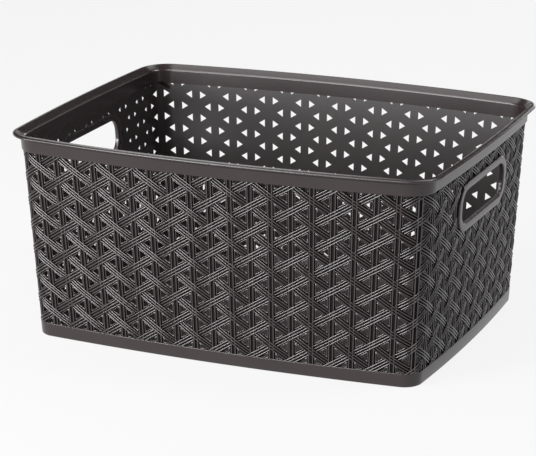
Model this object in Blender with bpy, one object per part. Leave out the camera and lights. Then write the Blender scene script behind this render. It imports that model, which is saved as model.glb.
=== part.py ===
"""Moulded storage basket with a woven-look wall, a flared lip and two hand slots.

The basket is one moulding. Its regions are modelled as separate closed solids:
floor, plinth, four bowed walls, four rounded corners, upper band, lip and two
hand-slot frames. Neighbouring solids keep a small seam.

+Z is up, +X runs along the long side, the front faces -Y, and the origin is at
the middle of the underside. Lengths are metres.
"""
import math

import bpy
import bmesh
import numpy as np

# ---- driving dimensions ---------------------------------------------------
ROW = 0.020                      # height of one row of the weave
SEAM = 0.0003                    # gap kept between neighbouring solids

# heights above the underside
WEAVE_ZERO_Z = 7.09 * ROW        # height where the plan sizes below are given
PLINTH_TOP_Z = 0.0113
WEAVE_TOP_Z = 0.1516
BAND_TOP_Z = 0.1608
TOP_Z = 0.1659
FLOOR_THICKNESS = 0.0024

# plan of the crest of the weave at WEAVE_ZERO_Z
HALF_LENGTH = 0.1685             # to the long end of a side wall, at the corners
HALF_WIDTH = 0.1261              # to the front and back walls, at the corners
CORNER_RADIUS = 0.0196
LONG_BOW = 0.0092                # how far the front and back walls bow out
SHORT_BOW = 0.0028               # how far the side walls bow out
FOOT_BOW_LOSS = 0.0025           # how much less the front and back bow out at the foot

# change with height, per metre of height
DRAFT = 0.0590
CORNER_FLARE = 0.0339
LONG_BOW_FLARE = 0.0033
SHORT_BOW_FLARE = -0.0048

# sections, measured outwards from the crest of the weave
WALL_INNER = -0.0024
WALL_OUTER = -0.0008

PLINTH_OUTER = -0.0002
PLINTH_INNER = -0.0034
PLINTH_FOOT_RADIUS = 0.0012
BAND_OUTER = 0.0009
BAND_INNER = -0.0026

LIP_THROAT = -0.0024             # where the flare starts, on the inside
LIP_INNER = 0.0034               # inner edge of the flat top
LIP_OUTER = 0.0067               # outermost point of the lip
LIP_EDGE_RADIUS = 0.0010
LIP_EDGE_DROP = 0.0008           # how far the rolled edge lies below the top
LIP_THROAT_EASE = 0.0006         # step outwards over the flare's first rise
LIP_FIRST_RISE = 0.0016
LIP_TOP_EASE = 0.0008            # bevel between the flare and the flat top
LIP_UNDERSIDE_STEP = 0.0012      # how far the underside starts beyond the band

# hand slot and its frame
SLOT_HALF_LENGTH = 0.0490
SLOT_BOTTOM_Z = 0.1084
SLOT_TOP_Z = 0.1356
SLOT_RADIUS = 0.0110
FRAME_WIDTH = 0.0062
FRAME_INNER = -0.0026
FRAME_OUTER = 0.0012
FRAME_ROUND = 0.0009
CUTTER_REACH = 0.020             # how far the slot cutter passes the wall on each side

# how finely curves are divided
LONG_STEPS = 14
SHORT_STEPS = 10
CORNER_STEPS = 7
SLOT_CORNER_STEPS = 6

BROWN = (0.022, 0.017, 0.017, 1.0)
ROUGHNESS = 0.28


# ---- plan of the basket ---------------------------------------------------
class Plan:
    """Bowed, round-cornered rectangle of the weave's crest at one height."""

    def __init__(self, z):
        rise = z - WEAVE_ZERO_Z
        self.radius = CORNER_RADIUS + CORNER_FLARE * rise
        self.core_x = HALF_LENGTH + DRAFT * rise - self.radius
        self.core_y = HALF_WIDTH + DRAFT * rise - self.radius
        self.long_bow = LONG_BOW + LONG_BOW_FLARE * rise - FOOT_BOW_LOSS * max(0, 1 - z / PLINTH_TOP_Z)
        self.short_bow = SHORT_BOW + SHORT_BOW_FLARE * rise

    def front(self, t):
        """Core point and outward normal of the front wall, t from -1 to 1 along +X."""
        point = np.array([self.core_x * t, -self.core_y - self.long_bow * (1 - t * t)])
        normal = np.array([2 * self.long_bow * t, -self.core_x])
        return point, normal / np.linalg.norm(normal)

    def right(self, t):
        """Core point and outward normal of the right wall, t from -1 to 1 along +Y."""
        point = np.array([self.core_x + self.short_bow * (1 - t * t), self.core_y * t])
        normal = np.array([self.core_y, 2 * self.short_bow * t])
        return point, normal / np.linalg.norm(normal)

    def side(self, name, t):
        """Core point and normal of any wall, t running anticlockwise seen from above."""
        if name in ("front", "back"):
            point, normal = self.front(t)
        else:
            point, normal = self.right(t)
        turn = -1.0 if name in ("back", "left") else 1.0
        return turn * point, turn * normal

    def corner(self, name, s):
        """Core point and normal round a corner, s from 0 to 1 anticlockwise."""
        before, after = CORNERS[name]
        point, start = self.side(before, 1.0)
        end = self.side(after, -1.0)[1]
        first = math.atan2(start[1], start[0])
        sweep = (math.atan2(end[1], end[0]) - first) % (2 * math.pi)
        angle = first + sweep * s
        return point, np.array([math.cos(angle), math.sin(angle)])

    def place(self, core, normal, offset):
        """Point in plan that lies offset outwards from the weave's crest."""
        return core + normal * (self.radius + offset)


CORNERS = {
    "front_right": ("front", "right"),
    "back_right": ("right", "back"),
    "back_left": ("back", "left"),
    "front_left": ("left", "front"),
}
STEPS = {"front": LONG_STEPS, "back": LONG_STEPS, "right": SHORT_STEPS, "left": SHORT_STEPS}


def stations(region):
    """Functions from a Plan to (core, normal), in order along a wall or corner."""
    if region in STEPS:
        values = np.linspace(-1, 1, STEPS[region] + 1)
        return [lambda plan, t=t: plan.side(region, t) for t in values]
    values = np.linspace(0, 1, CORNER_STEPS + 1)
    return [lambda plan, s=s: plan.corner(region, s) for s in values]


def whole_loop():
    """Stations once round the basket, anticlockwise, with no point repeated."""
    loop = []
    for region in ("front", "front_right", "right", "back_right",
                   "back", "back_left", "left", "front_left"):
        loop += stations(region)[:-1]
    return loop


# ---- mesh building --------------------------------------------------------
def plastic():
    """The moulding's dark brown plastic."""
    material = bpy.data.materials.new("dark_brown_plastic")
    material.use_nodes = True
    shader = material.node_tree.nodes["Principled BSDF"]
    shader.inputs["Base Color"].default_value = BROWN
    shader.inputs["Roughness"].default_value = ROUGHNESS
    shader.inputs["Metallic"].default_value = 0.0
    return material


def add_object(name, bm, smooth_angle=35):
    """Turn a closed bmesh into a named object with its own material."""
    bmesh.ops.remove_doubles(bm, verts=bm.verts, dist=1e-7)
    bmesh.ops.recalc_face_normals(bm, faces=bm.faces)
    mesh = bpy.data.meshes.new(name)
    bm.to_mesh(mesh)
    bm.free()
    mesh.materials.append(plastic())
    mesh.shade_smooth()
    mesh.set_sharp_from_angle(angle=math.radians(smooth_angle))
    obj = bpy.data.objects.new(name, mesh)
    bpy.context.scene.collection.objects.link(obj)
    return obj


def loft(sections, closed):
    """Join equal point loops into a skin; close it on itself or cap its ends."""
    bm = bmesh.new()
    rings = [[bm.verts.new(point) for point in section] for section in sections]
    pairs = list(zip(rings, rings[1:]))
    if closed:
        pairs.append((rings[-1], rings[0]))
    for ring, following in pairs:
        count = len(ring)
        for i in range(count):
            j = (i + 1) % count
            bm.faces.new((ring[i], ring[j], following[j], following[i]))
    if not closed:
        bm.faces.new(rings[0])
        bm.faces.new(rings[-1][::-1])
    return bm


def sweep(profile, places, closed):
    """Sweep a profile of (offset, z) points along stations of the plan."""
    plans = {z: Plan(z) for _, z in profile}
    sections = []
    for place in places:
        section = []
        for offset, z in profile:
            plan = plans[z]
            x, y = plan.place(*place(plan), offset)
            section.append((x, y, z))
        sections.append(section)
    return loft(sections, closed)


def rounded(profile, centre, radius, first, last, count):
    """Add the points of a round to a profile, angles in degrees."""
    for i in range(count + 1):
        angle = math.radians(first + (last - first) * i / count)
        profile.append((centre[0] + radius * math.cos(angle),
                        centre[1] + radius * math.sin(angle)))


# ---- the regions of the moulding ------------------------------------------
def floor_panel():
    """Flat base panel inside the plinth."""
    offset = PLINTH_INNER - SEAM
    places = whole_loop()
    levels = (0.0, FLOOR_THICKNESS)
    loops = []
    for z in levels:
        plan = Plan(0.0)
        loops.append([(*plan.place(*place(plan), offset), z) for place in places])
    return add_object("floor_panel", loft(loops, closed=False))


def plinth_band():
    """Smooth band round the foot with a rounded lower outer edge."""
    profile = [(PLINTH_INNER, PLINTH_TOP_Z), (PLINTH_INNER, 0.0)]
    foot_centre = (PLINTH_OUTER - PLINTH_FOOT_RADIUS, PLINTH_FOOT_RADIUS)
    rounded(profile, foot_centre, PLINTH_FOOT_RADIUS, -90, 0, 4)
    profile.append((PLINTH_OUTER, PLINTH_TOP_Z))
    return add_object("plinth_band", sweep(profile, whole_loop(), closed=True))


def wall_profile():
    """Section of the woven-look wall between the plinth and the upper band."""
    bottom, top = PLINTH_TOP_Z + SEAM, WEAVE_TOP_Z - SEAM
    return [(WALL_OUTER, bottom), (WALL_OUTER, top), (WALL_INNER, top), (WALL_INNER, bottom)]


def trimmed(places, trim):
    """Stations with the first and last moved inwards along the wall by trim metres."""
    def shifted(place, towards):
        def moved(plan):
            core, normal = place(plan)
            other = towards(plan)[0]
            step = other - core
            return core + step / np.linalg.norm(step) * trim, normal
        return moved
    first = shifted(places[0], places[1])
    last = shifted(places[-1], places[-2])
    return [first] + places[1:-1] + [last]


def wall(side):
    """One of the four bowed walls."""
    places = trimmed(stations(side), SEAM)
    return add_object(side + "_wall", sweep(wall_profile(), places, closed=False))


def corner(name):
    """One of the four rounded corners."""
    return add_object("corner_" + name, sweep(wall_profile(), stations(name), closed=False))


def upper_band():
    """Smooth band that stands proud of the weave."""
    profile = [(BAND_INNER, WEAVE_TOP_Z), (BAND_OUTER, WEAVE_TOP_Z),
               (BAND_OUTER, BAND_TOP_Z - SEAM), (BAND_INNER, BAND_TOP_Z - SEAM)]
    return add_object("upper_band", sweep(profile, whole_loop(), closed=True))


def rim_lip():
    """Flared lip: a slanted inner face, a narrow top and a rolled outer edge."""
    start_z = BAND_TOP_Z + LIP_FIRST_RISE
    profile = [(BAND_OUTER, BAND_TOP_Z), (LIP_THROAT, BAND_TOP_Z)]
    profile += [(LIP_THROAT + LIP_THROAT_EASE, start_z)]
    profile += [(LIP_INNER - LIP_TOP_EASE, TOP_Z - LIP_EDGE_DROP), (LIP_INNER, TOP_Z)]
    edge = (LIP_OUTER - LIP_EDGE_RADIUS, TOP_Z - LIP_EDGE_RADIUS - LIP_EDGE_DROP)
    rounded(profile, edge, LIP_EDGE_RADIUS, 90, -70, 5)
    profile.append((BAND_OUTER + LIP_UNDERSIDE_STEP, start_z))
    return add_object("rim_lip", sweep(profile, whole_loop(), closed=True))


# ---- hand slots -----------------------------------------------------------
def slot_outline(grow):
    """Round-cornered slot outline in (y, z), grown outwards by grow metres."""
    radius = SLOT_RADIUS + grow
    half = SLOT_HALF_LENGTH + grow - radius
    low, high = SLOT_BOTTOM_Z - grow + radius, SLOT_TOP_Z + grow - radius
    outline = []
    for centre, first in (((half, low), -90), ((half, high), 0),
                          ((-half, high), 90), ((-half, low), 180)):
        rounded(outline, centre, radius, first, first + 90, SLOT_CORNER_STEPS)
    return outline


def side_wall_x(y, z, offset):
    """X of the right wall at (y, z), offset outwards from the weave's crest."""
    plan = Plan(z)
    return plan.place(*plan.right(y / plan.core_y), offset)[0]


def cut_slot(wall_object, side):
    """Cut the opening that the handle frame sits in."""
    outline = slot_outline(FRAME_WIDTH + SEAM)
    middle = side_wall_x(0, SLOT_TOP_Z, 0)
    turn = 1.0 if side == "right" else -1.0
    loops = [[(turn * (middle + depth), turn * y, z) for y, z in outline]
             for depth in (-CUTTER_REACH, CUTTER_REACH)]
    cutter = add_object(side + "_slot_cutter", loft(loops, closed=False))
    cutter.hide_render = True
    cutter.display_type = "WIRE"
    cut = wall_object.modifiers.new("slot", "BOOLEAN")
    cut.operation = "DIFFERENCE"
    cut.solver = "EXACT"
    cut.object = cutter


def handle_frame(side):
    """Smooth raised frame that lines the hand slot, with eased edges."""
    section = []
    inner_w, outer_w = FRAME_INNER + FRAME_ROUND, FRAME_OUTER - FRAME_ROUND
    rounded(section, (FRAME_ROUND, inner_w), FRAME_ROUND, 180, 270, 2)
    rounded(section, (FRAME_WIDTH - FRAME_ROUND, inner_w), FRAME_ROUND, 270, 360, 2)
    rounded(section, (FRAME_WIDTH - FRAME_ROUND, outer_w), FRAME_ROUND, 0, 90, 2)
    rounded(section, (FRAME_ROUND, outer_w), FRAME_ROUND, 90, 180, 2)
    turn = 1.0 if side == "right" else -1.0
    outlines = [slot_outline(grow) for grow, _ in section]
    sections = []
    for i in range(len(outlines[0])):
        loop = []
        for (_, offset), outline in zip(section, outlines):
            y, z = outline[i]
            loop.append((turn * side_wall_x(y, z, offset), turn * y, z))
        sections.append(loop)
    return add_object(side + "_handle_frame", loft(sections, closed=True))


def clear_scene():
    """Start from an empty scene."""
    for obj in list(bpy.data.objects):
        bpy.data.objects.remove(obj, do_unlink=True)


def build():
    """Make every region of the basket."""
    clear_scene()
    floor_panel()
    plinth_band()
    for side in ("front", "back"):
        wall(side)
    for side in ("left", "right"):
        cut_slot(wall(side), side)
        handle_frame(side)
    for name in CORNERS:
        corner(name)
    upper_band()
    rim_lip()


build()
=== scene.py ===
"""Looks of the moulded storage basket: woven-look relief, perforations, lip and hand slots.

The relief is laid out in weave coordinates (k, z, w): k counts strands round the
basket, z is the height in metres, and w is the distance outwards from the surface
that the crests of the weave lie on. surface() turns them into points, so one
description of the weave serves the walls and the corners.
"""
import math

import bpy
import bmesh
import numpy as np
from mathutils import Euler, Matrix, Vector


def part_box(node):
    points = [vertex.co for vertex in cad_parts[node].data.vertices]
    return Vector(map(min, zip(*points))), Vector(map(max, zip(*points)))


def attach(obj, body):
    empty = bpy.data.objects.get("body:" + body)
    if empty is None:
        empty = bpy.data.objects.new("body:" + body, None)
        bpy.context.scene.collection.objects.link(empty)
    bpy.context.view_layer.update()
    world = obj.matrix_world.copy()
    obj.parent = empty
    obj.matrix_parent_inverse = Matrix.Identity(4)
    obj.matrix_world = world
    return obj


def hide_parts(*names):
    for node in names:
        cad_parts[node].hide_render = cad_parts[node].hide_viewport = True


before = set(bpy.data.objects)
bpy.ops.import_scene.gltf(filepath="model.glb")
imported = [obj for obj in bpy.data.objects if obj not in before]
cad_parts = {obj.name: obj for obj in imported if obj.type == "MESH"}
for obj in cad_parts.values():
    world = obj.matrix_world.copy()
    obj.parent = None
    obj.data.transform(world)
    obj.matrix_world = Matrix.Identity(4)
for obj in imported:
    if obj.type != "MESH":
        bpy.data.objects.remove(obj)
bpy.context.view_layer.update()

# ---- the moulding's driving sizes, as in the CAD model (metres) -------------
ROW = 0.020
WEAVE_ZERO_Z = 7.09 * ROW
PLINTH_TOP_Z = 0.0113
WEAVE_TOP_Z = 0.1516
BAND_TOP_Z = 0.1608
TOP_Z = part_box("rim_lip")[1].z
FLOOR_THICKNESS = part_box("floor_panel")[1].z

HALF_LENGTH = 0.1685
HALF_WIDTH = 0.1261
CORNER_RADIUS = 0.0196
LONG_BOW = 0.0092
SHORT_BOW = 0.0028
FOOT_BOW_LOSS = 0.0025
DRAFT = 0.0590
CORNER_FLARE = 0.0339
LONG_BOW_FLARE = 0.0033
SHORT_BOW_FLARE = -0.0048

SLOT_HALF_LENGTH = 0.0490
SLOT_BOTTOM_Z = 0.1084
SLOT_TOP_Z = 0.1356
SLOT_RADIUS = 0.0110
CUT_SHAVE = 0.9                  # how closely the sheet's straight cuts follow the round corner
FRAME_WIDTH = 0.0062
FRAME_INNER = -0.0026
FRAME_OUTER = 0.0012
FRAME_ROUND = 0.0009

# ---- the weave's lattice ----------------------------------------------------
LONG_COUNT = 20                  # columns from corner strand to corner strand
SHORT_COUNT = 16
COLUMNS = 2 * (LONG_COUNT + SHORT_COUNT)
LONG_PITCH = 0.01644
SHORT_PITCH = 0.01504
PITCH_FLARE = 0.37               # per metre of height
WALL_STARTS = (-1, 19, 35, 55)   # strand at the first corner of each wall
WALL_COUNTS = (LONG_COUNT, SHORT_COUNT, LONG_COUNT, SHORT_COUNT)
WALL_NAMES = ("front_wall", "right_wall", "back_wall", "left_wall")
CORNER_NAMES = ("corner_front_left", "corner_front_right",
                "corner_back_right", "corner_back_left")
SLOT_MIDDLES = {"right": 27, "left": 63}

# ---- the relief's section (metres, w outwards from the crests) --------------
SHEET_OUTER = -0.0020
SHEET_INNER = -0.0025
BURIED = -0.0022                 # where relief pieces end inside the sheet

FLOAT_RIBS = (-0.0021, 0.0, 0.0021)
FLOAT_RIB_HALF = 0.00062
FLOAT_RIB_DEPTH = 0.0010
FLOAT_DROP = 0.0015              # how far a float sinks towards its ends
FLOAT_END = 0.0030               # from the crossing float's centre line to the end
FLOAT_STATIONS = 13
FLOAT_SAMPLES = 121              # where a float is tested against the window's edges
FLOAT_MIN_LINES = 4              # a shorter stub of a float is left out

STRAND_RIBS = (-0.00160, 0.00160)
STRAND_RIB_HALF = 0.00063
STRAND_RIB_DEPTH = 0.0011
STRAND_CREST = -0.0004
STRAND_STATIONS = 12
STRAND_SAMPLES = 900

HOLE_SIDE = 0.0035               # from the strand's middle to the hole's upright side
HOLE_FROM_FLOAT = 0.00390        # from a float's centre line to the hole
RIDGE_WIDTH = 0.00078
RIDGE_CREST = -0.00130
RIDGE_SHOULDER = RIDGE_CREST - 0.00035
RIDGE_EASED = RIDGE_CREST - 0.00012
RIDGE_SECTION = ((0.0, BURIED, 0.0), (0.0, RIDGE_SHOULDER, 0.8), (0.15, RIDGE_EASED, 1.0),
                 (0.50, RIDGE_CREST, 1.0), (0.85, RIDGE_EASED, 1.0),
                 (1.0, RIDGE_SHOULDER, 0.8), (1.0, BURIED, 0.0))   # share of width, w, crest
RIDGE_STEPS = 3                  # stations on each side of the triangle
RIDGE_MITRE = 0.35               # keeps the ridge's sharp corners from running far out

WINDOW_LOW = PLINTH_TOP_Z - 0.0005
WINDOW_HIGH = WEAVE_TOP_Z + 0.0006
HOLE_LOW = PLINTH_TOP_Z + 0.0006
HOLE_HIGH = WEAVE_TOP_Z - 0.0008
WEAVE_ROWS = 9                   # rows below the lattice's zero; one more lies above it
HOLE_ROWS = 8
INNER_FACE_CREST = 0.7           # crest value of the sheet's inner face, so it takes part of the painted recess shade
MERGE = 1e-6                     # tolerances of the sheet's mesh
ON_PLANE = 1e-7


# ---- plan of the basket -----------------------------------------------------
def surface(k, z, w):
    """Points at weave coordinates (k, z, w), given as arrays of one shape."""
    k, z, w = np.broadcast_arrays(np.asarray(k, float), np.asarray(z, float), np.asarray(w, float))
    rise = z - WEAVE_ZERO_Z
    radius = CORNER_RADIUS + CORNER_FLARE * rise
    core_x = HALF_LENGTH + DRAFT * rise - radius
    core_y = HALF_WIDTH + DRAFT * rise - radius
    turn = np.mod(k + 1, COLUMNS)
    starts = np.array(WALL_STARTS) + 1
    wall = np.searchsorted(starts, turn, side="right") - 1
    count = np.array(WALL_COUNTS)[wall]
    along = turn - starts[wall] - count / 2
    long_wall = wall % 2 == 0

    half = np.where(long_wall, core_x, core_y)
    depth = np.where(long_wall, core_y, core_x)
    foot = np.maximum(0, 1 - z / PLINTH_TOP_Z)
    long_bow = LONG_BOW + LONG_BOW_FLARE * rise - FOOT_BOW_LOSS * foot
    short_bow = SHORT_BOW + SHORT_BOW_FLARE * rise
    bow = np.where(long_wall, long_bow, short_bow)
    other_half = np.where(long_wall, core_y, core_x)
    other_bow = np.where(long_wall, short_bow, long_bow)
    first = np.arctan2(2 * bow, half)
    middle = (first + math.pi / 2 - np.arctan2(2 * other_bow, other_half)) / 2

    pitch = np.where(long_wall, LONG_PITCH, SHORT_PITCH) * (1 + PITCH_FLARE * rise)
    even = count / 2 - 1
    flat = half + radius * np.sin(first)
    end = flat + radius * (middle - first)
    distance = np.abs(along)
    path = np.where(distance <= even, pitch * distance,
                    pitch * even + (distance - even) * (end - pitch * even))
    t = np.clip(path / flat, 0, 1)
    bend = np.where(path <= flat, np.arctan2(2 * bow * t, half), first + (path - flat) / radius)
    side = np.sign(along)
    tangent = side * (half * t + (radius + w) * np.sin(bend))
    outward = depth + bow * (1 - t * t) + (radius + w) * np.cos(bend)
    x = np.choose(wall, (tangent, outward, -tangent, -outward))
    y = np.choose(wall, (-outward, tangent, outward, -tangent))
    return np.stack([x, y, z], axis=-1)


def spacing(k, z):
    """Distance between strands at column k and height z."""
    a, b = surface(np.array([k - 0.5, k + 0.5]), z, 0.0)
    return float(np.linalg.norm(a - b))


def wall_y(k, z, middle):
    """Distance along a short wall from its middle."""
    return (k - middle) * SHORT_PITCH * (1 + PITCH_FLARE * (z - WEAVE_ZERO_Z))


def wall_k(y, z, middle):
    """Weave coordinate k at distance y from the middle of a short wall."""
    return middle + y / (SHORT_PITCH * (1 + PITCH_FLARE * (z - WEAVE_ZERO_Z)))


# ---- hand slots -------------------------------------------------------------
def outside_slots(k, z, grow):
    """How far (k, z) lies outside both slot outlines grown by grow; negative inside."""
    result = np.full(np.broadcast(k, z).shape, 1.0)
    centre_z = (SLOT_BOTTOM_Z + SLOT_TOP_Z) / 2
    half_z = (SLOT_TOP_Z - SLOT_BOTTOM_Z) / 2
    for middle in SLOT_MIDDLES.values():
        radius = SLOT_RADIUS + grow
        across = np.abs(wall_y(k, z, middle)) - (SLOT_HALF_LENGTH + grow - radius)
        up = np.abs(z - centre_z) - (half_z + grow - radius)
        corner = np.hypot(np.maximum(across, 0), np.maximum(up, 0))
        inside = np.minimum(np.maximum(across, up), 0)
        result = np.minimum(result, corner + inside - radius)
    return result


def slot_outline(grow, corner_steps):
    """Round-cornered slot outline as (y, z) points, anticlockwise."""
    radius = SLOT_RADIUS + grow
    half = SLOT_HALF_LENGTH + grow - radius
    low, high = SLOT_BOTTOM_Z - grow + radius, SLOT_TOP_Z + grow - radius
    outline = []
    for y, z, first in ((half, low, -90), (half, high, 0), (-half, high, 90), (-half, low, 180)):
        for i in range(corner_steps + 1):
            angle = math.radians(first + 90 * i / corner_steps)
            outline.append((y + radius * math.cos(angle), z + radius * math.sin(angle)))
    return outline


# ---- mesh collecting --------------------------------------------------------
class Relief:
    """Vertices in weave coordinates and faces of one visual piece."""

    def __init__(self):
        self.points = []
        self.crests = []
        self.faces = []
        self.count = 0

    def add(self, points, faces, crest=0.0):
        """Add an array of (k, z, w) points and faces that index into it.

        crest runs from 0 in a recess to 1 on a crest; the material reads it to paint shade into the
        recesses."""
        grid = np.asarray(points, float)
        self.points.append(grid.reshape(-1, 3))
        self.crests.append(np.broadcast_to(crest, grid.shape[:-1]).ravel())
        self.faces += [tuple(i + self.count for i in face) for face in faces]
        self.count += len(self.points[-1])

    def add_grid(self, grid, closed_lines, crest=0.0):
        """Add a grid of points, stations by lines, with flat ends where it isn't a loop."""
        stations, lines = grid.shape[:2]
        faces = []
        for i in range(stations - 1 + closed_lines):
            a, b = i * lines, (i + 1) % stations * lines
            for j in range(lines):
                m = (j + 1) % lines
                faces.append((a + j, a + m, b + m, b + j))
        if not closed_lines:
            faces.append(tuple(range(lines))[::-1])
            faces.append(tuple(range((stations - 1) * lines, stations * lines)))
        self.add(grid, faces, crest)

    def make(self, name, material, smooth_angle=50):
        """Turn the collected relief into an object."""
        points = np.concatenate(self.points)
        mesh = bpy.data.meshes.new(name)
        mesh.from_pydata(surface(*points.T), [], self.faces)
        crest = mesh.attributes.new("crest", "FLOAT", "POINT")
        crest.data.foreach_set("value", np.concatenate(self.crests))
        return finish_mesh(name, mesh, material, smooth_angle)


def finish_mesh(name, mesh, material, smooth_angle):
    """Shade a mesh smooth, give it its material and put it in the scene."""
    mesh.materials.append(material)
    mesh.shade_smooth()
    mesh.set_sharp_from_angle(angle=math.radians(smooth_angle))
    mesh.update()
    obj = bpy.data.objects.new(name, mesh)
    bpy.context.scene.collection.objects.link(obj)
    return obj


def rib_section(centres, half_width, height, base):
    """Section of rounded ribs on a strip as (q, w, crest) points from -q to +q, with a buried base."""
    shape = ((-1.0, 1.0), (-0.90, 0.46), (-0.66, 0.18), (-0.34, 0.04), (0.0, 0.0),
             (0.34, 0.04), (0.66, 0.18), (0.90, 0.46), (1.0, 1.0))
    section = [(centres[0] - half_width, base, 0.0)]
    for centre in centres:
        section += [(centre + half_width * a, -height * b, 1.0 - b) for a, b in shape]
    section.append((centres[-1] + half_width, base, 0.0))
    return np.array(section)


# ---- floats -----------------------------------------------------------------
FLOAT_SECTION = rib_section(FLOAT_RIBS, FLOAT_RIB_HALF, FLOAT_RIB_DEPTH, BURIED)


def visible_spans(k, z):
    """Start and end of each run of samples that lies in the woven area, per line."""
    shown = (z > WINDOW_LOW) & (z < WINDOW_HIGH) & (outside_slots(k, z, FRAME_WIDTH / 2) > 0)
    edges = np.diff(np.concatenate([[0], shown.astype(int), [0]]))
    return list(zip(np.nonzero(edges == 1)[0], np.nonzero(edges == -1)[0] - 1))


def spread(section, lines):
    """Start, end, q, w and crest of every section line.

    lines holds the start and end of the lines that show; one that is hidden takes
    its nearest neighbour's place."""
    index = [min(lines, key=lambda i: abs(i - j)) for j in range(len(section))]
    start, end = np.array([lines[i] for i in index]).T
    q, w, crest = section[index].T
    return start, end, q, w, crest


def add_float(relief, k0, z0, lean):
    """A three-ribbed float over strand k0; lean is 1 falling to the right, -1 rising."""
    pitch = spacing(k0, z0)
    half_row = ROW / 2
    length = math.hypot(pitch, half_row)
    normal = np.array([lean * half_row, pitch]) / length
    gap = ROW * pitch / length
    skew = (pitch ** 2 - half_row ** 2) / length ** 2
    fine = np.linspace(0, 1, FLOAT_SAMPLES)
    spans = {}
    for j, (q, _, _) in enumerate(FLOAT_SECTION):
        start = -1 + (FLOAT_END + lean * q * skew) / gap
        end = 1 - (FLOAT_END - lean * q * skew) / gap
        t = start + (end - start) * fine
        k = k0 + t + q * normal[0] / pitch
        z = z0 - lean * half_row * t + q * normal[1]
        for number, (a, b) in enumerate(visible_spans(k, z)):
            if b > a:
                spans.setdefault(number, {})[j] = (t[a], t[b])
    for lines in spans.values():
        if len(lines) < FLOAT_MIN_LINES:
            continue
        start, end, q, w, crest = spread(FLOAT_SECTION, lines)
        share = np.linspace(0, 1, FLOAT_STATIONS)[:, None]
        t = start + (end - start) * share
        arch = -FLOAT_DROP * t ** 2
        k = k0 + t + q * normal[0] / pitch
        z = z0 - lean * half_row * t + q * normal[1]
        raised = np.where(w > BURIED, w + arch, BURIED)
        relief.add_grid(np.stack([k, z, np.maximum(raised, BURIED) + 0 * k], axis=-1), False, crest)


# ---- strands ----------------------------------------------------------------
STRAND_SECTION = rib_section(STRAND_RIBS, STRAND_RIB_HALF, STRAND_RIB_DEPTH, BURIED - STRAND_CREST)


def add_strand(relief, k0):
    """A two-ribbed upright strand, broken where a hand slot crosses it."""
    fine = np.linspace(WINDOW_LOW, WINDOW_HIGH, STRAND_SAMPLES)
    pitch = spacing(k0, WEAVE_ZERO_Z)
    spans = {}
    for j, (q, _, _) in enumerate(STRAND_SECTION):
        k = np.full(fine.shape, k0 + q / pitch)
        for a, b in visible_spans(k, fine):
            spans.setdefault(bool(fine[a] > SLOT_BOTTOM_Z), {})[j] = (fine[a], fine[b])
    for lines in spans.values():
        start, end, q, w, crest = spread(STRAND_SECTION, lines)
        share = np.linspace(0, 1, STRAND_STATIONS)[::-1, None]
        z = start + (end - start) * share
        grid = np.stack([k0 + q / pitch + 0 * z, z, w + STRAND_CREST + 0 * z], axis=-1)
        relief.add_grid(grid, False, crest)


# ---- perforations -----------------------------------------------------------
def hole_outline(pitch, towards):
    """Triangle beside a strand as (u, v) points in metres; towards is 1 right, -1 left."""
    slope = ROW / 2 / pitch
    drop = HOLE_FROM_FLOAT * math.hypot(1, slope)
    apex = pitch - drop / slope
    half = slope * (pitch - HOLE_SIDE) - drop
    points = [(HOLE_SIDE, -half), (apex, 0.0), (HOLE_SIDE, half)]
    if towards < 0:
        points = [(-u, v) for u, v in points[::-1]]
    return points


def clip(polygon, point, normal):
    """The part of a convex polygon on the normal's side of a line."""
    kept = []
    for a, b in zip(polygon, polygon[1:] + polygon[:1]):
        side_a = (a[0] - point[0]) * normal[0] + (a[1] - point[1]) * normal[1]
        side_b = (b[0] - point[0]) * normal[0] + (b[1] - point[1]) * normal[1]
        if side_a >= 0:
            kept.append(a)
        if side_a * side_b < 0:
            share = side_a / (side_a - side_b)
            kept.append((a[0] + share * (b[0] - a[0]), a[1] + share * (b[1] - a[1])))
    return kept


def node_height(k, step):
    """Height of the holes beside strand k, step rows below the top ones."""
    return WEAVE_ZERO_Z + ROW * ((0.5 if k % 2 == 0 else 0.0) - step)


def add_ridge(relief, k0, z0, towards):
    """Low ridge round one perforation."""
    pitch = spacing(k0 + towards / 3, z0)
    outline = hole_outline(pitch, towards)
    outline = clip(outline, (0.0, HOLE_HIGH - z0), (0.0, -1.0))
    if outline:
        outline = clip(outline, (0.0, HOLE_LOW - z0), (0.0, 1.0))
    if len(outline) < 3:
        return
    points = np.array(outline)
    centre = points.mean(axis=0)
    if outside_slots(k0 + centre[0] / pitch, z0 + centre[1], FRAME_WIDTH * 0.5) < RIDGE_WIDTH:
        return
    corners = []
    for i in range(len(points)):
        before, here, after = points[i - 1], points[i], points[(i + 1) % len(points)]
        a, b = here - before, after - here
        na = np.array([a[1], -a[0]]) / np.linalg.norm(a)
        nb = np.array([b[1], -b[0]]) / np.linalg.norm(b)
        corners.append((na + nb) / max(1 + na @ nb, RIDGE_MITRE))
    stations = []
    for i in range(len(points)):
        j = (i + 1) % len(points)
        for step in range(RIDGE_STEPS):
            share = step / RIDGE_STEPS
            base = points[i] + (points[j] - points[i]) * share
            out = corners[i] + (corners[j] - corners[i]) * share
            line = []
            for offset, w, _ in RIDGE_SECTION:
                u, v = base + out * offset * RIDGE_WIDTH
                line.append((k0 + u / pitch, z0 + v, w))
            stations.append(line)
    relief.add_grid(np.array(stations), True, [point[2] for point in RIDGE_SECTION])


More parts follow.
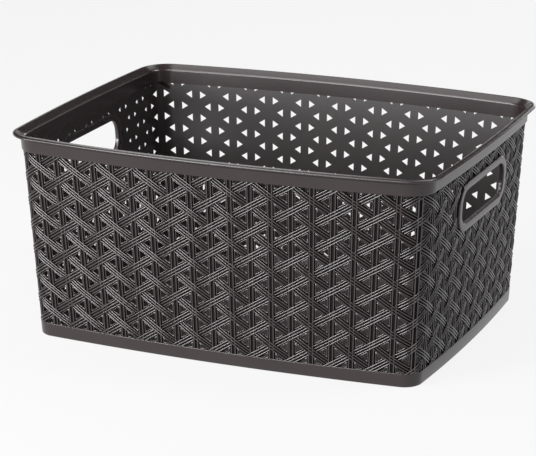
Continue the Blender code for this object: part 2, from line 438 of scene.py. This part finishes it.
# ---- the perforated sheet ---------------------------------------------------
def strip_faces(k, z0, pitch):
    """Faces of one row between strands k and k + 1, leaving both perforations open.

    z0 is the height of the left strand's perforation. Points are (k, z)."""
    half_row = ROW / 2
    right = hole_outline(pitch, 1)
    left = hole_outline(pitch, -1)
    half = right[2][1]
    a1, a3, a2 = right
    b2, b3, b1 = [(pitch + u, half_row + v) for u, v in left]
    a1_up, a3_up = (a1[0], a1[1] + ROW), (a3[0], a3[1] + ROW)
    b1_up = (b1[0], b1[1] + ROW)
    polygons = [
        [(0, -half), a1, a2, (0, half)],
        [(0, half), a2, b3, a1_up, (0, ROW - half)],
        [b1, (pitch, half_row - half), (pitch, half_row + half), b2],
        [b2, (pitch, half_row + half), (pitch, ROW + half_row - half), b1_up, a3_up],
        [a2, a3, b1, b3],
        [b3, b2, a3_up, a1_up],
    ]
    return [[(k + u / pitch, z0 + v) for u, v in polygon] for polygon in polygons]


def add_sheet(relief, k_first, k_last):
    """The thin perforated wall behind the relief, from strand k_first to k_last."""
    bm = bmesh.new()
    pitch = spacing((k_first + k_last) / 2, WEAVE_ZERO_Z)
    for k in range(k_first, k_last):
        for step in range(-1, WEAVE_ROWS):
            for polygon in strip_faces(k, node_height(k, step), pitch):
                corners = [bm.verts.new((u * pitch, z, 0)) for u, z in polygon]
                bm.faces.new(corners)
    bmesh.ops.remove_doubles(bm, verts=bm.verts, dist=MERGE)
    for height, direction in ((WINDOW_LOW, -1), (WINDOW_HIGH, 1)):
        bmesh.ops.bisect_plane(bm, geom=bm.verts[:] + bm.edges[:] + bm.faces[:], dist=ON_PLANE,
                               plane_co=(0, height, 0), plane_no=(0, direction, 0), clear_outer=True)
    close_clipped_holes(bm)
    bmesh.ops.triangulate(bm, faces=bm.faces)
    bmesh.ops.subdivide_edges(bm, edges=bm.edges, cuts=1, use_grid_fill=True)
    for middle in SLOT_MIDDLES.values():
        if k_first < middle < k_last:
            cut_slot(bm, middle, pitch)
    bmesh.ops.triangulate(bm, faces=bm.faces)
    bm.verts.ensure_lookup_table()
    flat = np.array([(v.co.x / pitch, v.co.y) for v in bm.verts])
    faces = [tuple(v.index for v in face.verts) for face in bm.faces]
    rims = [tuple(v.index for v in loop_edge(edge))
            for edge in bm.edges if len(edge.link_faces) == 1]
    bm.free()
    count = len(flat)
    outer = np.column_stack([flat, np.full(count, SHEET_OUTER)])
    inner = np.column_stack([flat, np.full(count, SHEET_INNER)])
    every = faces + [tuple(i + count for i in face[::-1]) for face in faces]
    every += [(b, a, a + count, b + count) for a, b in rims]
    relief.add(np.concatenate([outer, inner]), every, np.repeat([0.0, INNER_FACE_CREST], count))


def loop_edge(edge):
    """The edge's vertices in the order that its only face runs through them."""
    loop = edge.link_loops[0]
    return loop.vert, loop.link_loop_next.vert


def close_clipped_holes(bm):
    """Fill the perforations' parts that lie behind the band and the plinth."""
    for low, high, edge_height in ((WINDOW_LOW, HOLE_LOW, HOLE_LOW),
                                   (HOLE_HIGH, WINDOW_HIGH, HOLE_HIGH)):
        bmesh.ops.bisect_plane(bm, geom=bm.verts[:] + bm.edges[:] + bm.faces[:], dist=ON_PLANE,
                               plane_co=(0, edge_height, 0), plane_no=(0, 1, 0))
        doomed = [f for f in bm.faces if low < f.calc_center_median().y < high]
        xs = sorted({round(v.co.x, 7) for f in doomed for v in f.verts
                     if abs(v.co.y - edge_height) < MERGE})
        bmesh.ops.delete(bm, geom=doomed, context="FACES")
        for x0, x1 in zip(xs, xs[1:]):
            corners = [bm.verts.new((x, y, 0)) for x, y in
                       ((x0, low), (x1, low), (x1, high), (x0, high))]
            bm.faces.new(corners)
        bmesh.ops.remove_doubles(bm, verts=bm.verts, dist=MERGE)


def cut_slot(bm, middle, pitch):
    """Cut the sheet along an eight-sided outline hidden under the handle frame."""
    grow = FRAME_WIDTH / 2
    half_y, half_z = SLOT_HALF_LENGTH + grow, (SLOT_TOP_Z - SLOT_BOTTOM_Z) / 2 + grow
    centre_z = (SLOT_BOTTOM_Z + SLOT_TOP_Z) / 2
    shave = (SLOT_RADIUS + grow) * (math.sqrt(2) - 1) / math.sqrt(2) * CUT_SHAVE
    planes = []
    for sy in (-1, 0, 1):
        for sz in (-1, 0, 1):
            if (sy, sz) == (0, 0):
                continue
            point = Vector((middle * pitch + sy * half_y, centre_z + sz * half_z, 0))
            normal = Vector((sy, sz, 0)).normalized()
            if sy and sz:
                point -= normal * shave * math.sqrt(2)
            planes.append((point, normal))
    for point, normal in planes:
        near = [f for f in bm.faces
                if abs(f.calc_center_median().x - middle * pitch) < half_y + ROW
                and abs(f.calc_center_median().y - centre_z) < half_z + ROW / 2]
        edges = list(dict.fromkeys(e for f in near for e in f.edges))
        verts = list(dict.fromkeys(v for f in near for v in f.verts))
        bmesh.ops.bisect_plane(bm, geom=verts + edges + near, dist=ON_PLANE,
                               plane_co=point, plane_no=normal)
    doomed = [f for f in bm.faces
              if all((f.calc_center_median() - point).dot(normal) < 0 for point, normal in planes)]
    bmesh.ops.delete(bm, geom=doomed, context="FACES")


# ---- smooth regions ---------------------------------------------------------
CORNER_STEPS = 12                # sections in half a corner
WALL_STEPS = 3                   # sections per strand on a wall


def loop_columns():
    """Weave columns once round the basket, close together at the corners."""
    columns = []
    for start, count in zip(WALL_STARTS, WALL_COUNTS):
        for first, last, steps in ((start, start + 1, CORNER_STEPS),
                                   (start + 1, start + count - 1, WALL_STEPS * count),
                                   (start + count - 1, start + count, CORNER_STEPS)):
            columns += list(np.linspace(first, last, steps, endpoint=False))
    return np.array(columns)


def arc(centre, radius, first, last, steps):
    """Points of an arc in a (w, z) section, angles in degrees."""
    angles = np.radians(np.linspace(first, last, steps + 1))
    return [(centre[0] + radius * math.cos(a), centre[1] + radius * math.sin(a)) for a in angles]


def ring(name, section, material, smooth_angle=40):
    """Sweep a closed (w, z) section once round the basket."""
    relief = Relief()
    columns = loop_columns()
    w, z = np.array(section).T
    grid = np.stack([columns[:, None] + 0 * w, z + 0 * columns[:, None], w + 0 * columns[:, None]],
                    axis=-1)
    relief.add_grid(grid, True)
    return relief.make(name, material, smooth_angle)


# ---- sections of the plinth, the band and the lip (w, z, in metres) ---------
PLINTH_OUTER = -0.0002
PLINTH_INNER = -0.0034
PLINTH_FOOT_RADIUS = 0.0012
PLINTH_TOP_ROUND = 0.0006
BAND_OUTER = 0.0009
BAND_INNER = -0.0026
BAND_LOW_ROUND = 0.0008
BAND_OVERLAP = 0.0012            # how far the band runs down behind the relief
LIP_THROAT = -0.0024             # inner face at its foot
LIP_INNER = 0.0034               # inner face at its top
LIP_OUTER = 0.0067
LIP_EDGE_RADIUS = 0.0010
LIP_EDGE_DROP = 0.0008           # the rolled edge's top lies lower than the inner one
LIP_TUCK = 0.0004                # how far the lip reaches down into the band
LIP_SKIN = 0.0002                # how far the tucked part keeps from the band's inner face


def plinth_section():
    """Smooth band round the foot, rounded below and eased above."""
    foot = (PLINTH_OUTER - PLINTH_FOOT_RADIUS, PLINTH_FOOT_RADIUS)
    top = (PLINTH_OUTER - PLINTH_TOP_ROUND, PLINTH_TOP_Z - PLINTH_TOP_ROUND)
    section = [(PLINTH_INNER, PLINTH_TOP_Z), (PLINTH_INNER, 0.0)]
    section += arc(foot, PLINTH_FOOT_RADIUS, -90, 0, 8)
    section += arc(top, PLINTH_TOP_ROUND, 0, 90, 4)
    return section


def band_section():
    """Smooth band above the weave with a small round on its lower edge."""
    low = (BAND_OUTER - BAND_LOW_ROUND, WEAVE_TOP_Z + BAND_LOW_ROUND)
    foot = WEAVE_TOP_Z - BAND_OVERLAP
    section = [(BAND_INNER, BAND_TOP_Z), (BAND_INNER, foot)]
    section += [(SHEET_INNER + 0.0002, foot), (SHEET_INNER + 0.0004, WEAVE_TOP_Z)]
    section += arc(low, BAND_LOW_ROUND, -90, 0, 5)
    section += [(BAND_OUTER, BAND_TOP_Z)]
    return section


def lip_section():
    """Flared lip: slanted inner face, narrow top, rolled outer edge and underside."""
    edge = (LIP_OUTER - LIP_EDGE_RADIUS, TOP_Z - LIP_EDGE_RADIUS - LIP_EDGE_DROP)
    tucked = [(BAND_OUTER - LIP_TUCK, BAND_TOP_Z - LIP_TUCK),
              (BAND_INNER + LIP_SKIN, BAND_TOP_Z - LIP_TUCK)]
    throat = [(BAND_INNER + LIP_SKIN, BAND_TOP_Z + 0.0001), (LIP_THROAT, BAND_TOP_Z + 0.0006),
              (LIP_THROAT + 0.0008, BAND_TOP_Z + 0.0016)]
    top = [(LIP_INNER - 0.0008, TOP_Z - 0.0005), (LIP_INNER - 0.0003, TOP_Z - 0.0001),
           (LIP_INNER, TOP_Z)]
    underside = [(BAND_OUTER + 0.0030, BAND_TOP_Z + 0.0024),
                 (BAND_OUTER + 0.0010, BAND_TOP_Z + 0.0012), (BAND_OUTER, BAND_TOP_Z)]
    section = tucked + throat + top + arc(edge, LIP_EDGE_RADIUS, 90, -80, 8) + underside
    return section[::-1]


def floor_object(material):
    """Flat base panel inside the plinth."""
    columns = loop_columns()
    rim = surface(columns, 0.0, PLINTH_INNER + 0.0001)[:, :2]
    bm = bmesh.new()
    low, high = [[bm.verts.new((x, y, height)) for x, y in rim]
                 for height in (0.0, FLOOR_THICKNESS)]
    for i in range(len(low)):
        bm.faces.new((low[i - 1], low[i], high[i], high[i - 1]))
    bm.faces.new(low[::-1])
    bm.faces.new(high)
    mesh = bpy.data.meshes.new("floor_panel_skin")
    bm.to_mesh(mesh)
    bm.free()
    return finish_mesh("floor_panel_skin", mesh, material, 40)


def handle_frame(side, material):
    """Smooth raised frame with eased edges and a return flange inside the slot."""
    middle = SLOT_MIDDLES[side]
    low, high = FRAME_INNER + FRAME_ROUND, FRAME_OUTER - FRAME_ROUND
    section = arc((FRAME_ROUND, low), FRAME_ROUND, 180, 270, 4)
    section += arc((FRAME_WIDTH - FRAME_ROUND, low), FRAME_ROUND, 270, 360, 4)
    section += arc((FRAME_WIDTH - FRAME_ROUND, high), FRAME_ROUND, 0, 90, 6)
    section += arc((FRAME_ROUND, high), FRAME_ROUND, 90, 180, 6)
    lines = []
    for grow, w in section:
        outline = np.array(slot_outline(grow, 12))
        k = wall_k(outline[:, 0], outline[:, 1], middle)
        lines.append(np.stack([k, outline[:, 1], np.full(len(k), w)], axis=-1))
    relief = Relief()
    relief.add_grid(np.stack(lines, axis=1), True)
    return relief.make(side + "_handle_frame_skin", material, 45)


# ---- materials --------------------------------------------------------------
BROWN = (0.0165, 0.0110, 0.0118)
WOVEN_ROUGHNESS = 0.21
SMOOTH_ROUGHNESS = 0.24
# painted shade: colour that darkens the relief's recesses where shadow falls
RECESS_SHADE_COLOUR = (0.0040, 0.0024, 0.0026)
RECESS_ROUGHNESS = 0.60
RECESS_SPECULAR = 0.10
CREST_SPECULAR = 0.90
RECESS_BELOW = 0.45              # on the crest scale of the relief
CREST_ABOVE = 0.92
FLOW_SCALE = 14.0                # faint streaks of the melt, per metre
FLOW_DETAIL = 3.0
FLOW_STOPS = (0.3, 0.7)
FLOW_TINTS = (0.88, 1.12)
GLOSS_VARIATION = 0.04
WOVEN_GRAIN = 0.0009             # size of the moulded grain
SMOOTH_GRAIN = 0.0011
GRAIN_HEIGHT = 0.00006
GRAIN_DETAIL = 2.0
GRAIN_STRENGTH = 0.25
FLOOR_GREY = 0.05
FLOOR_GLOW = 0.86


def recess_share(material):
    """Socket that is 0 deep in the relief and 1 on its crests."""
    nodes, links = material.node_tree.nodes, material.node_tree.links
    crest = nodes.new("ShaderNodeAttribute")
    crest.attribute_name = "crest"
    share = nodes.new("ShaderNodeMapRange")
    share.interpolation_type = "SMOOTHSTEP"
    share.inputs["From Min"].default_value = RECESS_BELOW
    share.inputs["From Max"].default_value = CREST_ABOVE
    links.new(crest.outputs["Fac"], share.inputs["Value"])
    return share.outputs["Result"]


def paint_recess_shade(material, colour, roughness):
    """Keep the given colour and roughness on the crests; below them paint shade with a darker colour,
    duller roughness and weaker specular.
    """
    nodes, links = material.node_tree.nodes, material.node_tree.links
    shader = nodes["Principled BSDF"]
    share = recess_share(material)
    shade = nodes.new("ShaderNodeMix")
    shade.data_type = "RGBA"
    # painted shade: the recesses take the dark colour and the crests keep the plastic's own
    shade.inputs["A"].default_value = (*RECESS_SHADE_COLOUR, 1)
    links.new(share, shade.inputs["Factor"])
    links.new(colour, shade.inputs["B"])
    sheen = nodes.new("ShaderNodeMapRange")
    sheen.inputs["To Min"].default_value = RECESS_SPECULAR
    sheen.inputs["To Max"].default_value = CREST_SPECULAR
    links.new(share, sheen.inputs["Value"])
    links.new(sheen.outputs["Result"], shader.inputs["Specular IOR Level"])
    dull = nodes.new("ShaderNodeMix")
    dull.inputs["A"].default_value = RECESS_ROUGHNESS
    links.new(share, dull.inputs["Factor"])
    links.new(roughness, dull.inputs["B"])
    return shade.outputs["Result"], dull.outputs["Result"]


def plastic(name, roughness, grain_size, woven):
    """Satin moulded plastic with a fine spark-eroded grain and faint flow variation.

    Woven-look plastic has painted shade: its recesses are coloured dark and made dull and less glossy,
    and its crests keep the plastic's colour."""
    material = bpy.data.materials.new(name)
    material.use_nodes = True
    nodes, links = material.node_tree.nodes, material.node_tree.links
    shader = nodes["Principled BSDF"]
    shader.inputs["Metallic"].default_value = 0.0
    shader.inputs["IOR"].default_value = 1.5
    place = nodes.new("ShaderNodeTexCoord")

    flow = nodes.new("ShaderNodeTexNoise")
    flow.inputs["Scale"].default_value = FLOW_SCALE
    flow.inputs["Detail"].default_value = FLOW_DETAIL
    links.new(place.outputs["Object"], flow.inputs["Vector"])
    tint = nodes.new("ShaderNodeValToRGB")
    for stop, position, factor in zip(tint.color_ramp.elements, FLOW_STOPS, FLOW_TINTS):
        stop.position = position
        stop.color = (*[c * factor for c in BROWN], 1)
    links.new(flow.outputs["Fac"], tint.inputs["Fac"])

    gloss = nodes.new("ShaderNodeMapRange")
    gloss.inputs["To Min"].default_value = roughness - GLOSS_VARIATION
    gloss.inputs["To Max"].default_value = roughness + GLOSS_VARIATION
    links.new(flow.outputs["Fac"], gloss.inputs["Value"])

    colour_out, roughness_out = tint.outputs["Color"], gloss.outputs["Result"]
    if woven:
        colour_out, roughness_out = paint_recess_shade(material, colour_out, roughness_out)
    links.new(colour_out, shader.inputs["Base Color"])
    links.new(roughness_out, shader.inputs["Roughness"])

    grain = nodes.new("ShaderNodeTexNoise")
    grain.inputs["Scale"].default_value = 1.0 / grain_size
    grain.inputs["Detail"].default_value = GRAIN_DETAIL
    links.new(place.outputs["Object"], grain.inputs["Vector"])
    bump = nodes.new("ShaderNodeBump")
    bump.inputs["Strength"].default_value = GRAIN_STRENGTH
    bump.inputs["Distance"].default_value = GRAIN_HEIGHT
    links.new(grain.outputs["Fac"], bump.inputs["Height"])
    links.new(bump.outputs["Normal"], shader.inputs["Normal"])
    return material


def floor_material():
    """White matt floor that glows evenly like a light table."""
    material = bpy.data.materials.new("studio_floor")
    material.use_nodes = True
    shader = material.node_tree.nodes["Principled BSDF"]
    shader.inputs["Base Color"].default_value = (FLOOR_GREY, FLOOR_GREY, FLOOR_GREY, 1)
    shader.inputs["Roughness"].default_value = 0.7
    shader.inputs["Specular IOR Level"].default_value = 0.0
    shader.inputs["Emission Color"].default_value = (1.0, 1.0, 1.0, 1)
    shader.inputs["Emission Strength"].default_value = FLOOR_GLOW
    return material


# ---- the basket -------------------------------------------------------------
def woven_piece(node, first, last, k_first, k_last, material):
    """Relief, ridges and sheet of one wall or corner, strands first to last."""
    relief = Relief()
    for k in range(first, last + 1):
        add_strand(relief, k)
        lean = 1 if k % 2 == 0 else -1
        shift = 0.0 if k % 2 == 0 else 0.5
        for step in range(-1, WEAVE_ROWS):
            add_float(relief, k, WEAVE_ZERO_Z + ROW * (shift - step), lean)
        for step in range(HOLE_ROWS):
            for towards in (-1, 1):
                add_ridge(relief, k, node_height(k, step), towards)
    add_sheet(relief, k_first, k_last)
    settle(relief.make(node + "_weave", material), node)


def settle(piece, node):
    """Attach a visual piece to the body and let it stand for its CAD node."""
    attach(piece, "root")
    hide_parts(node)


def build_basket():
    """Every visual piece of the basket."""
    woven = plastic("woven_look_plastic", WOVEN_ROUGHNESS, WOVEN_GRAIN, woven=True)
    smooth = plastic("smooth_plastic", SMOOTH_ROUGHNESS, SMOOTH_GRAIN, woven=False)
    for name, start, count in zip(WALL_NAMES, WALL_STARTS, WALL_COUNTS):
        woven_piece(name, start + 1, start + count - 1, start + 1, start + count - 1, woven)
    for name, start in zip(CORNER_NAMES, WALL_STARTS):
        woven_piece(name, start, start, start - 1, start + 1, woven)
    settle(ring("plinth_band_skin", plinth_section(), smooth), "plinth_band")
    settle(ring("upper_band_skin", band_section(), smooth), "upper_band")
    settle(ring("rim_lip_skin", lip_section(), smooth), "rim_lip")
    settle(floor_object(smooth), "floor_panel")
    for side in SLOT_MIDDLES:
        settle(handle_frame(side, smooth), side + "_handle_frame")


# ---- studio -----------------------------------------------------------------
LIGHT_AIM = Vector((0, 0, 0.06))
LIGHT_DISTANCE = 1.7
LIGHT_SIZE = 0.55
FLOOR_SIZE = 12
BACKDROP_RADIUS = 5.5
BACKDROP_HEIGHT = 1.2
BACKDROP_SIDES = 64
SURROUND = 0.03                  # brightness of the world above the backdrop


def studio():
    """Glowing floor and low backdrop, soft boxes all round and a dark world above."""
    bpy.ops.mesh.primitive_plane_add(size=FLOOR_SIZE)
    ground = bpy.context.object
    ground.name = "studio_floor"
    ground.data.materials.append(floor_material())
    backdrop(ground.data.materials[0])

    world = bpy.data.worlds.new("studio")
    bpy.context.scene.world = world
    world.use_nodes = True
    background = world.node_tree.nodes["Background"]
    background.inputs["Color"].default_value = (1.0, 1.0, 1.0, 1)
    background.inputs["Strength"].default_value = SURROUND

    soft_light("low_front_left", azimuth=-30, elevation=12, power=20)
    soft_light("low_left", azimuth=-50, elevation=12, power=14)
    soft_light("low_front", azimuth=-10, elevation=12, power=14)
    soft_light("key_front_left", azimuth=-30, elevation=32, power=9)
    soft_light("high_front_left", azimuth=-30, elevation=55, power=8.5)
    soft_light("high_front", azimuth=10, elevation=55, power=10.5)
    soft_light("high_right", azimuth=110, elevation=55, power=15)
    soft_light("high_left", azimuth=-60, elevation=66, power=2.5)
    soft_light("high_back", azimuth=175, elevation=55, power=3.2)
    soft_light("low_back", azimuth=175, elevation=12, power=3.2)
    soft_light("back_left", azimuth=-150, elevation=32, power=2.2)
    soft_light("top_back_left", azimuth=-114, elevation=66, power=3.0)


def backdrop(material):
    """Low wall of the floor's material all round, far behind the lights."""
    bm = bmesh.new()
    angles = np.linspace(0, 2 * math.pi, BACKDROP_SIDES, endpoint=False)
    circle = [(BACKDROP_RADIUS * math.cos(a), BACKDROP_RADIUS * math.sin(a)) for a in angles]
    low, high = [[bm.verts.new((x, y, height)) for x, y in circle]
                 for height in (0.0, BACKDROP_HEIGHT)]
    for i in range(BACKDROP_SIDES):
        bm.faces.new((low[i], low[i - 1], high[i - 1], high[i]))
    mesh = bpy.data.meshes.new("studio_backdrop")
    bm.to_mesh(mesh)
    bm.free()
    finish_mesh("studio_backdrop", mesh, material, 40)


def soft_light(name, azimuth, elevation, power):
    """Square soft box aimed at the basket; azimuth 0 is the front, 90 the right."""
    data = bpy.data.lights.new(name, "AREA")
    data.shape = "SQUARE"
    data.size = LIGHT_SIZE
    data.energy = power
    turn, lift = math.radians(azimuth), math.radians(elevation)
    outward = Vector((math.sin(turn) * math.cos(lift), -math.cos(turn) * math.cos(lift),
                      math.sin(lift)))
    light = bpy.data.objects.new(name, data)
    light.location = LIGHT_AIM + outward * LIGHT_DISTANCE
    light.rotation_euler = (-outward).to_track_quat("-Z", "Y").to_euler()
    bpy.context.scene.collection.objects.link(light)


SENSOR_WIDTH = 36                # millimetres, as Blender wants it
FOCAL_LENGTH = 166.06
CAMERA_PLACE = (0.7429, -1.7402, 0.6579)
CAMERA_YAW = 0.4083              # radians, like the two below
CAMERA_PITCH = 0.2995
CAMERA_ROLL = -0.0037


def camera():
    """Long lens from the front right, looking slightly down."""
    data = bpy.data.cameras.new("camera")
    data.sensor_width = SENSOR_WIDTH
    data.lens = FOCAL_LENGTH
    view = bpy.data.objects.new("camera", data)
    view.location = CAMERA_PLACE
    aim = Euler((math.pi / 2 - CAMERA_PITCH, 0, CAMERA_YAW)).to_matrix()
    view.rotation_euler = (aim @ Euler((0, 0, CAMERA_ROLL)).to_matrix()).to_euler()
    bpy.context.scene.collection.objects.link(view)
    bpy.context.scene.camera = view


build_basket()
studio()
camera()
bpy.context.scene.view_settings.view_transform = "Standard"
